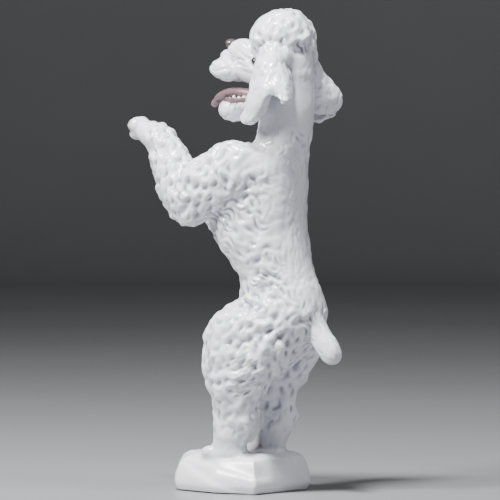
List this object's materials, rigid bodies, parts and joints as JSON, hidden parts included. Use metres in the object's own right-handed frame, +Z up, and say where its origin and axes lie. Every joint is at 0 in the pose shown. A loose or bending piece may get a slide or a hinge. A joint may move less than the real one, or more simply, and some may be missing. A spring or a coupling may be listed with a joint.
{
  "type": "ceramic dog figurine",
  "caption": "White glazed porcelain poodle standing upright on its hind legs on a faceted rock plinth, forelegs raised, head lifted, mouth open.",
  "frame": {"origin": "centre of the plinth's flat underside", "axes": "+Z up, the dog faces -Y, its left side is +X"},
  "size_m": [0.0696, 0.1253, 0.2597],
  "materials": {
    "porcelain": "cool white glazed porcelain, high gloss, sculpted curls",
    "porcelain_smooth": "cool white glazed porcelain, smooth shaved areas, high gloss",
    "rock_glaze": "thick pooled white glaze over soft rock facets",
    "tongue_glaze": "mauve pink painted under a clear glaze",
    "nose_glaze": "brown grey painted under a clear glaze",
    "teeth_glaze": "white glazed teeth on a brown pink gum"
  },
  "bodies": {
    "root": {"left_hind_leg": "porcelain", "right_hind_leg": "porcelain", "hips": "porcelain", "torso": "porcelain", "left_upper_arm": "porcelain", "right_upper_arm": "porcelain", "topknot": "porcelain", "left_ear": "porcelain", "right_ear": "porcelain", "left_hind_paw": "porcelain_smooth", "right_hind_paw": "porcelain_smooth", "left_forearm": "porcelain_smooth", "right_forearm": "porcelain_smooth", "tail": "porcelain_smooth", "neck": "porcelain_smooth", "skull": "porcelain_smooth", "muzzle": "porcelain_smooth", "lower_jaw": "porcelain_smooth", "plinth": "rock_glaze", "tongue": "tongue_glaze", "nose": "nose_glaze", "lower_teeth": "teeth_glaze"}
  },
  "joints": []
}
